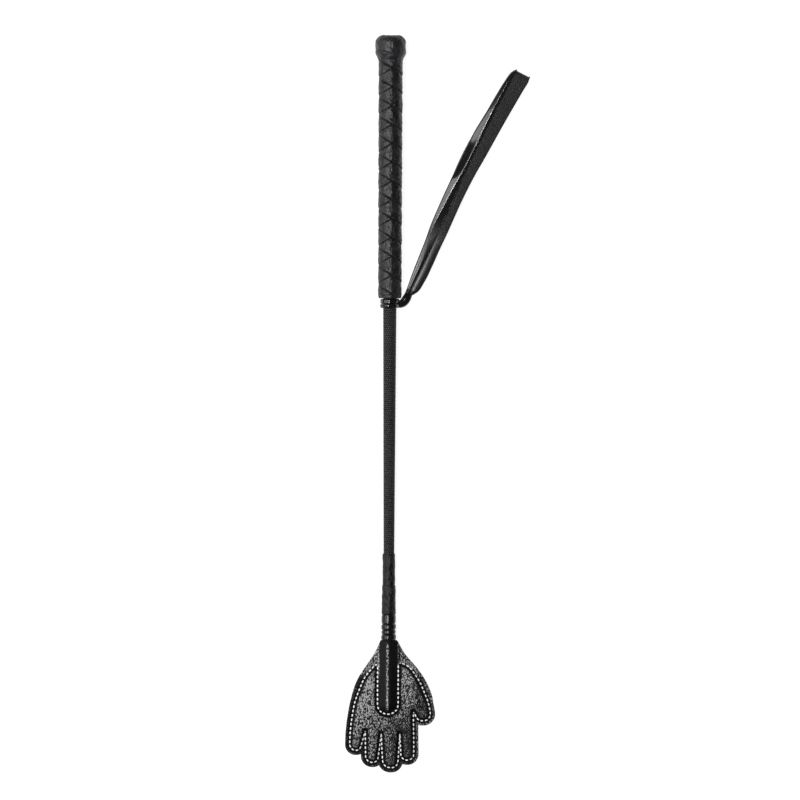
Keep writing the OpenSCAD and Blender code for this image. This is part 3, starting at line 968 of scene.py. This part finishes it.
def build_loop(material):
    """The wrist strap: one folded ribbon, with its seam, its tilted left side and its gathers."""
    s, outer_z, turn = loop_stations().T
    by_station = (LEFT_EDGE, RIDGE_LINE, SEAM_LINE, RIGHT_EDGE, FLAP_DROP)
    left, ridge, seam, right, drop = (table(s, STATIONS, values) for values in by_station)
    upper = smooth_step((turn + 0.2) / 1.2)
    # the lower leg lies a little inside the upper one's outline
    left = left + (1 - upper) * 1.1 * smooth_step((LOOP_LEN - s) / 20)
    right = right - (1 - upper) * 0.5 * smooth_step((LOOP_LEN - s) / 20)
    # columns run along both edges, the ridge and the seam, and are close together beside them
    lines = np.stack([left, ridge, seam, right], axis=1)
    even = np.linspace(0, 1, 17)[:-1]
    eased = even - 0.10 * np.sin(math.tau * even)
    place = np.concatenate([eased, eased + 1, eased + 2, [3.0]])
    first = np.minimum(place.astype(int), 2)
    across = lines[:, first] + (lines[:, first + 1] - lines[:, first]) * (place - first)
    share = (across - left[:, None]) / (right - left)[:, None]
    to_seam = across - seam[:, None]
    flap = np.clip(1 - place, 0, 1)[None]
    inside = np.clip(2 - place, 0, 1)[None]
    # left of the seam the leather rises a little to a ridge and falls away to its edge
    relief = 0.40 * inside - drop[:, None] * (np.sqrt(flap**2 + 0.012) - 0.11)
    relief -= 0.50 * bell(to_seam, 0.33)
    relief -= 0.55 * np.clip(place - 2, 0, 1) ** 2
    gather = smooth_step((50 - s) / 42)[:, None]
    relief += gather * 0.34 * (pleats(place) - 0.5)
    relief -= 1.3 * smooth_step((0.5 - s) / 5)[:, None]
    relief *= upper[:, None]
    out = np.stack([np.zeros(len(s)), np.cos(turn), np.sin(turn)], axis=1)
    edge = np.minimum(share, 1 - share)
    round_edge = 0.45 * (1 - smooth_step(edge / 0.05))
    # the fold's two corners stick out a little
    corners = 1.0 * (bell(across + 4.6, 0.5) + bell(across - 5.8, 0.5)) - 0.6
    along = s[:, None] + corners * smooth_step((s[:, None] - LOOP_LEN + 8) / 7)
    base = np.stack([across, along, np.broadcast_to(outer_z[:, None], across.shape)], axis=2)
    outer = base + out[:, None, :] * (relief - round_edge)[..., None]
    thin = STRAP_T * (1 - 0.35 * flap * upper[:, None])
    inner = base + out[:, None, :] * (relief * 0.9 - thin + round_edge)[..., None]
    rings = np.concatenate([outer, inner[:, ::-1]], axis=1)
    shine = smooth_step(-(to_seam + 0.2) / 0.6) * smooth_step((s - 30) / 25)[:, None]
    shine = np.maximum(shine, 0.55 * smooth_step((48 - s) / 20)[:, None])
    shine = np.concatenate([shine, shine[:, ::-1]], axis=1)
    piece = capped_rings("wrist_strap", rings, material, strap_to_row, crease=75)
    set_values(piece, "gloss", shine)
    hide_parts("wrist_loop")
    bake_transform(piece)


NECK_PATH = (
    (4.9, -4.0, 0.2), (7.4, -3.8, -0.4), (9.6, -2.5, -0.9),
    (11.4, 0.1, -1.2), (12.9, 3.2, -1.9), (14.6, 6.9, -2.3),
)
NECK_WIDTH = (5.0, 5.4, 5.9, 6.0, 5.0, 3.6)
NECK_HEIGHT = (4.4, 4.4, 4.2, 3.9, 2.6, 1.6)


def build_neck(material):
    """The gathered strap between its turns round the shaft and the loop's root."""
    path = np.array(NECK_PATH)
    at = np.linspace(0, 1, len(path))
    fine = np.linspace(0, 1, 40)
    line = np.stack([table(fine, at, path[:, k]) for k in range(3)], axis=1)
    width, height = table(fine, at, NECK_WIDTH), table(fine, at, NECK_HEIGHT)
    along = unit(np.gradient(line, axis=0))
    side = unit(np.cross(along, [0, 0, 1]))
    up = np.cross(side, along)
    angle = np.arange(64) * math.tau / 64
    c, q = np.cos(angle), np.sin(angle)
    boxy_c, boxy_q = (np.sign(v) * np.abs(v) ** 0.8 for v in (c, q))
    u = width[:, None] / 2 * boxy_c
    w = boxy_q * (height[:, None] / 2 + 0.45 * (pleats(1.5 * (c + 1)) - 0.5))
    rings = line[:, None] + u[..., None] * side[:, None] + w[..., None] * up[:, None]
    piece = capped_rings("strap_gather", rings, material, crease=60)
    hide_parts("strap_neck")
    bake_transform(piece)


# ---------------- popper

PAD_CORNERS = (
    (-7.7, -248, 0.6), (-16, -257.6, 20), (-22.6, -274, 45), (-25.4, -292, 60),
    (-25.9, -306.7, 3.6), (-19.6, -306.7, 2.4), (-15.3, -291.4, 0.3),
    (-14.9, -314.9, 4), (-7.6, -314.9, 3), (-4.6, -292.3, 0.3),
    (-3.2, -318.5, 4.8), (6, -318.5, 4), (7.9, -290.8, 0.3),
    (9.2, -313.3, 3.6), (17.1, -313.3, 3.9), (16.6, -279, 0.4),
    (20.6, -286.5, 3.4), (28.9, -286.5, 4.2), (27.2, -275.6, 30), (21.4, -261.2, 30),
    (13.6, -249.4, 14), (7, -247.6, 0.6), (7, -282.9, 7.2), (-7.7, -282.9, 7.2),
)
POCKET_LEFT, POCKET_RIGHT, POCKET_END, POCKET_END_R = -7.7, 7.0, -282.9, 7.2
POCKET_SEAM = -248.0
THROAT_CORNERS = (
    (-5.4, BINDING_END - 0.1, 0.5), (-9.4, -241, 30), (-14.2, -248, 60), (-18.3, -253.8, 60),
    (-22, -260.4, 40), (-25, -269, 60), (-26.2, -276, 0), (-20, -277, 0), (22, -277, 0),
    (30.6, -276, 0), (30, -270.5, 20), (26.4, -261, 40), (21.3, -253.3, 60),
    (16.1, -247, 60), (10.9, -241.6, 30), (5.8, BINDING_END - 0.1, 0.5),
)
BORDER = 3.6

pad_path = rounded(PAD_CORNERS)
pocket_path = rounded(
    (
        (POCKET_LEFT, POCKET_SEAM, 0), (POCKET_RIGHT, POCKET_SEAM, 0),
        (POCKET_RIGHT, POCKET_END, POCKET_END_R), (POCKET_LEFT, POCKET_END, POCKET_END_R),
    )
)
throat_path = rounded(THROAT_CORNERS)


def pad_distance(points):
    return signed_distance(points, pad_path)


def hand_distance(points):
    """Distance outside the popper's whole outline, negative inside it."""
    stitched = np.minimum(pad_distance(points), signed_distance(points, pocket_path))
    return np.minimum(stitched - BORDER, signed_distance(points, throat_path))


def outline_mesh(distance, low, high, step):
    """Even triangles that fill the area where distance is negative, with a clean edge."""
    rise = step * math.sqrt(3) / 2
    columns = int((high[0] - low[0]) / step) + 3
    rows = int((high[1] - low[1]) / rise) + 3
    j, i = np.meshgrid(np.arange(columns), np.arange(rows))
    points = np.stack([low[0] + (j + 0.5 * (i % 2)) * step, low[1] + i * rise], axis=2).reshape(-1, 2)
    gap = distance(points)
    near = np.abs(gap) < 0.5 * step
    # points beside the outline are moved onto it
    nudge = 0.02
    steps = nudge * np.eye(2)
    for _ in range(3):
        ring = points[near]
        rises = [distance(ring + move) - distance(ring - move) for move in steps]
        slope = np.stack(rises, axis=1) / (2 * nudge)
        slope /= np.maximum(np.linalg.norm(slope, axis=1, keepdims=True), 0.3)
        points[near] = ring - distance(ring)[:, None] * slope
    keep = (gap < 0) | near
    triangles = []
    for r in range(rows - 1):
        a = r * columns + np.arange(columns - 1)
        b, c, d = a + 1, a + columns, a + columns + 1
        if r % 2:
            triangles += [np.stack([a, b, d], 1), np.stack([a, d, c], 1)]
        else:
            triangles += [np.stack([a, b, c], 1), np.stack([b, d, c], 1)]
    triangles = np.concatenate(triangles)
    triangles = triangles[keep[triangles].all(1)]
    middles = points[triangles].mean(1)
    rim_only = near[triangles].all(1)
    good = ~rim_only
    good[rim_only] = distance(middles[rim_only]) < -0.12 * step
    triangles = triangles[good]
    used, triangles = np.unique(triangles, return_inverse=True)
    return points[used], triangles.reshape(-1, 3)


def rim_edges(triangles):
    """Edges that only one triangle has, in that triangle's direction."""
    edges = np.concatenate([triangles[:, [0, 1]], triangles[:, [1, 2]], triangles[:, [2, 0]]])
    keys = {}
    for a, b in edges:
        key = (min(a, b), max(a, b))
        keys[key] = None if key in keys else (a, b)
    return [edge for edge in keys.values() if edge is not None]


def layer(name, flat, triangles, top, bottom, material, crease=40):
    """A closed layer between two heights over the same outline."""
    count = len(flat)
    points = np.concatenate([np.column_stack([flat, top]), np.column_stack([flat, bottom])])
    faces = [tuple(t) for t in triangles.tolist()]
    faces += [(c + count, b + count, a + count) for a, b, c in triangles.tolist()]
    faces += [(int(a), int(a + count), int(b + count), int(b)) for a, b in rim_edges(triangles)]
    return add_piece(name, points, faces, material, crease=crease)


TENT_R = shaft_radius(BINDING_END) + 1.08
TENT_FOOT = 6.6
RIDGE_X = -0.6
ROD_END = -276.5
STITCH_OUT = 0.35  # the stitching lies this far outside the pad's edge


def tent_height(points):
    """The leather stretched over the rod between the two rows of pocket stitching."""
    x, y = points[:, 0], points[:, 1]
    ridge = TENT_R - 0.25 * smooth_step((BINDING_END - y) / 45)
    touch = math.radians(32)
    across = np.abs(x)
    arc_edge = ridge * math.cos(touch)
    dome = np.sqrt(np.clip(ridge**2 - np.minimum(across, arc_edge) ** 2, 0, None))
    edge_height = ridge * math.sin(touch)
    foot = np.minimum(TENT_FOOT, 5.2 + 0.35 * (BINDING_END - y))
    fall = np.clip((across - arc_edge) / np.maximum(foot - arc_edge, 0.3), 0, None)
    side = edge_height - (edge_height - BORDER_Z + 0.3) * fall
    height = np.where(across < arc_edge, dome, side)
    # the leather creases to a ridge along the rod
    fold = 0.45 * smooth_step((BINDING_END - y) / 8)
    height = np.maximum(height, ridge + fold - 0.5 * np.abs(x - RIDGE_X))
    # beyond the end of the rod it slopes down to the rounded seam
    past = np.clip((ROD_END - y) / (ROD_END - POCKET_END - 0.4), 0, 1.3)
    return height - (height - BORDER_Z + 0.3) * smooth_step(past)


def on_ridge(x, y, width):
    """1 on the ridge of the pocket, and 0 away from it."""
    ends = smooth_step((y + 281) / 3) * smooth_step((BINDING_END - 1 - y) / 3)
    return bell(x - RIDGE_X, width) * ends


def pocket_painted_light(points):
    """Painted light on the leather, grain and all: a painted highlight on the pocket's ridge and painted
    light on its lit left side.
    """
    x, y = points[:, 0], points[:, 1]
    in_pocket = (x > POCKET_LEFT + 0.8) & (x < RIDGE_X) & (y > POCKET_END + 3)
    return np.maximum(0.28 * on_ridge(x, y, 0.7), 0.155 * in_pocket)


def painted_grain_light(points):
    """How light the grain's tops are painted, as painted highlights and painted light, on the pads, the
    pocket's ridge, the neck and the border.
    """
    x, y = points[:, 0], points[:, 1]
    pad = -pad_distance(points)
    # the pads get the most painted light at the left and at the top, where the light falls, and the least at
    # the thumb
    toward_left = smooth_step((10 - x) / 28)
    toward_neck = smooth_step((y + 300) / 42) * smooth_step((21 - x) / 7)
    on_pads = (0.60 + 0.62 * toward_left + 0.85 * toward_neck) * smooth_step((pad - 0.9) / 1.5)
    in_pocket = (x > POCKET_LEFT - 1) & (x < POCKET_RIGHT + 1) & (y > POCKET_END)
    # a painted highlight along the pocket's ridge
    ridge = 1.2 * on_ridge(x, y, 0.8) * (np.abs(x) < 4)
    throat = 1.3 * smooth_step((np.abs(x) - 5.6) / 1.5) * smooth_step((y + 262) / 12) * (pad < 0)
    # the border's grain is painted lighter towards the right
    border = (0.50 + 0.45 * smooth_step((x - 15) / 7)) * smooth_step((-pad - 1.4) / 1.2)
    plain = np.where(in_pocket, 0.0, border)
    return np.max([on_pads, ridge, plain, throat], axis=0)


def front_height(points):
    """Top of the popper's front leather."""
    pad = -pad_distance(points)
    crown = (PAD_Z - BORDER_Z - 0.35) * quarter_round(np.clip(pad / 3.4, 0, 1))
    crown += 0.75 * (1 - np.exp(-np.maximum(pad - 2, 0) / 4))
    height = BORDER_Z + np.where(pad > 0, crown, 0)
    wrinkles = waves(points, 21, count=30, longest=16, shortest=5)
    height += 0.12 * wrinkles * smooth_step(pad / 3)
    x, y = points[:, 0], points[:, 1]
    in_pocket = (x > POCKET_LEFT) & (x < POCKET_RIGHT) & (y > POCKET_END)
    tent = np.where(in_pocket, tent_height(points), BORDER_Z - 3)
    height = np.where(pad > 0, height, soft_max(tent, height, 0.9))
    from_seam = pad + STITCH_OUT
    width = np.where(from_seam > 0, 0.9, 1.3)
    height -= 0.75 * bell(from_seam, width) * smooth_step((POCKET_SEAM + 3 - y) / 3)
    rim = np.clip(-hand_distance(points) / 0.7, 0, 1)
    return height - 0.40 * (1 - quarter_round(rim))


def stitches(path, side, on_height, pitch=3.0, length=1.85, width=0.92, bury=0.22):
    """Short rounded stitches along a path; side is 1 above the leather and -1 below it."""
    points, at = resample(path, 0.1)
    total = at[-1] + 0.1
    count = round(total / pitch)
    span_share = np.linspace(-0.5, 0.5, 9)
    rings, columns = len(span_share), 8
    arch = 1 - (2 * span_share) ** 4
    half = width / 2 * (0.45 + 0.55 * np.sqrt(arch))
    angle = np.arange(columns) * math.tau / columns
    all_points, all_faces = [], []
    for k in range(count):
        centre = (k + 0.5) * total / count
        where = (centre + span_share * length) % total
        flat = np.stack([np.interp(where, at, points[:, c], period=total) for c in range(2)], axis=1)
        # a stitch is straight between its two holes
        flat = flat[0] + (flat[-1] - flat[0]) * (span_share + 0.5)[:, None]
        along = unit(flat[-1] - flat[0])
        normal = np.array([-along[1], along[0]])
        xy = flat[:, None] + normal * (half[:, None] * np.cos(angle))[..., None]
        z = on_height(flat[[4]])[0] + side * (0.30 * arch - bury + 0.22)
        z = z[:, None] + 0.24 * np.sin(angle)
        all_points.append(np.concatenate([xy, z[..., None]], axis=2).reshape(-1, 3))
        first = k * rings * columns
        last = first + (rings - 1) * columns
        all_faces += ring_faces(rings, columns, first)
        all_faces.append(tuple(range(first, first + columns)))
        all_faces.append(tuple(range(last + columns - 1, last - 1, -1)))
    return np.concatenate(all_points), all_faces


FRAME_LOW, FRAME_HIGH = (-30.5, -323.5), (34.0, BINDING_END + 0.5)  # room for the popper's outline


def over_knuckles(piece, *nodes):
    """Lets a piece of the popper stand for its palm and finger nodes, which are hidden."""
    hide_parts(*nodes)
    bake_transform(piece)


def build_front(material):
    flat, triangles = outline_mesh(hand_distance, FRAME_LOW, FRAME_HIGH, 0.42)
    top = front_height(flat)
    bottom = np.maximum(top - LEATHER * 0.95, SEAM_Z + 0.04)
    piece = layer("popper_front", flat, triangles, top, bottom, material)
    # painted highlights and painted light on the grain, and painted light on the pocket's ridge and left side
    set_values(piece, "painted_grain_light", painted_grain_light(flat))
    set_values(piece, "pocket_painted_light", pocket_painted_light(flat))
    over_knuckles(piece, "popper_front_palm", "popper_front_fingers")


def build_back(material):
    flat, triangles = outline_mesh(hand_distance, FRAME_LOW, FRAME_HIGH, 0.8)
    rim = np.clip(-hand_distance(flat) / 0.8, 0, 1)
    dent = 0.30 * bell(pad_distance(flat) - STITCH_OUT, 0.75)
    under = BACK_Z + 0.35 * (1 - quarter_round(rim)) + dent
    over_top = SEAM_Z - 0.15 * (1 - rim)
    piece = layer("popper_back", flat, triangles, over_top, under, material)
    over_knuckles(piece, "popper_back_palm", "popper_back_fingers")


def build_foam(material):
    def foam_distance(points):
        return pad_distance(points) + 1.0

    flat, triangles = outline_mesh(foam_distance, FRAME_LOW, FRAME_HIGH, 0.7)
    top = np.maximum(front_height(flat) - LEATHER - 0.05, SEAM_Z + 0.3)
    bottom = np.full(len(flat), SEAM_Z + 0.02)
    piece = layer("popper_foam", flat, triangles, top, bottom, material)
    over_knuckles(piece, "popper_foam_palm", "popper_foam_fingers")


def build_stitching(material):
    """Stitches just outside the pad's edge, on the front and on the back."""
    line, _ = resample(pad_path, 0.25)
    ahead = unit(np.roll(line, -2, axis=0) - np.roll(line, 2, axis=0))
    outward = np.stack([ahead[:, 1], -ahead[:, 0]], axis=1)
    if pad_distance(line[:1] + outward[:1])[0] < 0:
        outward = -outward
    thread_path = line + STITCH_OUT * outward

    def back_height(points):
        return np.full(len(points), BACK_Z + 0.30)

    points, faces = stitches(thread_path, 1, front_height)
    more, more_faces = stitches(thread_path, -1, back_height, bury=0.30)
    faces += [tuple(i + len(points) for i in face) for face in more_faces]
    points = np.concatenate([points, more])
    piece = add_piece("stitching", points, faces, material, crease=70)
    over_knuckles(piece, "palm_stitching", "pocket_stitching", "finger_stitching")


# ---------------- build


def finish_cad_nodes():
    """Materials for the CAD parts that stay as they are, all of them inside the covers."""
    finishes = {
        "core_rod": ("fibreglass", (0.50, 0.52, 0.44), (0.66, 0.67, 0.58), 1.5, 0.35),
        "rod_tip_cap": ("tip_cap", (0.02, 0.02, 0.02), (0.05, 0.05, 0.05), 1.0, 0.5),
        "grip_core": ("grip_tube", (0.30, 0.20, 0.11), (0.45, 0.31, 0.18), 2.0, 0.8),
        "grip_underwrap": ("under_wrap", (0.015, 0.015, 0.016), (0.03, 0.03, 0.032), 1.2, 0.6),
        "knob_core": ("knob_wood", (0.22, 0.11, 0.05), (0.36, 0.20, 0.10), 1.5, 0.6),
    }
    for node, (name, dark, light, size, rough) in finishes.items():
        stretch = (1, 0.15, 1) if node in ("core_rod", "knob_core") else (1, 1, 1)
        made = hidden_surface(name, dark, light, size, rough, stretch=stretch)
        mesh = frame["nodes"][node].data
        mesh.materials.clear()
        mesh.materials.append(made)


ON_THE_CROP = {
    "grip_wrap": "grip_overwrap",
    "knob_cover_leather": "knob_cover",
    "knob_crown_disc": "knob_crown",
    "braid": "braid_sheath",
    "tip_sleeve_top": "tip_sleeve_upper",
    "tip_sleeve_bottom": "tip_sleeve_lower",
    "neck_lace": "neck_binding",
    "strap_turn_top": "strap_turn_upper",
    "strap_turn_bottom": "strap_turn_lower",
}


def build_object():
    grip = grip_leather()
    build_handle(grip)
    build_knob_cover(grip)
    build_crown(crown_leather())
    build_braid(braid_yarn())
    build_sleeves(sleeve_tape())
    build_binding(patent("lace_leather", depth=0.05, coat=0.15))
    turn_leather = patent("turn_leather")
    build_turn("strap_turn_upper", "strap_turn_top", 0.4, turn_leather)
    build_turn("strap_turn_lower", "strap_turn_bottom", 2.1, turn_leather)
    for name, node in ON_THE_CROP.items():
        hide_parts(node)
        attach(pieces[name], "crop")
    build_neck(turn_leather)
    build_loop(strap_leather())
    build_front(pebbled_leather())
    build_back(suede_back())
    pale, yellow = (0.66, 0.62, 0.45), (0.50, 0.46, 0.30)
    build_foam(hidden_surface("foam", yellow, pale, 0.8, 0.9, from_object=False))
    build_stitching(waxed_thread())
    finish_cad_nodes()


# ---------------- floor and light


FLOOR_FINISH = {
    "Base Color": (0.14, 0.14, 0.14, 1),
    "Roughness": 0.9,
    "Specular IOR Level": 0.1,
    "Emission Color": (1, 1, 1, 1),
    "Emission Strength": 0.95,
}


def add_floor():
    """A pale floor that shines by itself, so that it looks white round the object."""
    size = 6.0
    corners = [(-size, -size, 0), (size, -size, 0), (size, size, 0), (-size, size, 0)]
    mesh = bpy.data.meshes.new("floor")
    mesh.from_pydata(corners, [], [(0, 1, 2, 3)])
    floor = bpy.data.objects.new("floor", mesh)
    floor.location.z = -0.2 * MM
    material = bpy.data.materials.new("floor")
    material.use_nodes = True
    shader = material.node_tree.nodes["Principled BSDF"]
    for key, value in FLOOR_FINISH.items():
        shader.inputs[key].default_value = value
    mesh.materials.append(material)
    bpy.context.scene.collection.objects.link(floor)
    floor.visible_diffuse = False


def add_light(name, location, size, power):
    """A softbox that faces the middle of the view, with the second size along the shaft."""
    data = bpy.data.lights.new(name, "AREA")
    data.shape = "RECTANGLE"
    data.size, data.size_y = size
    data.energy = power
    light = bpy.data.objects.new(name, data)
    light.location = location
    away = (light.location - Vector((VIEW_CENTRE[0], VIEW_CENTRE[1], 0))).normalized()
    side = Vector((0, 1, 0)).cross(away).normalized()
    light.rotation_euler = Matrix((side, away.cross(side), away)).transposed().to_euler()
    light.visible_camera = False
    bpy.context.scene.collection.objects.link(light)


def add_lights():
    add_light("left_box", (-0.95, 0.05, 1.00), (1.25, 1.6), 13)
    add_light("top_strip", (-0.42, 0.0, 1.75), (0.10, 1.7), 22)
    world = bpy.data.worlds.new("studio")
    world.use_nodes = True
    background = world.node_tree.nodes["Background"]
    background.inputs["Color"].default_value = (1, 1, 1, 1)
    background.inputs["Strength"].default_value = 0.05
    bpy.context.scene.world = world
    bpy.context.scene.view_settings.view_transform = "Standard"


build_object()
add_floor()
add_lights()
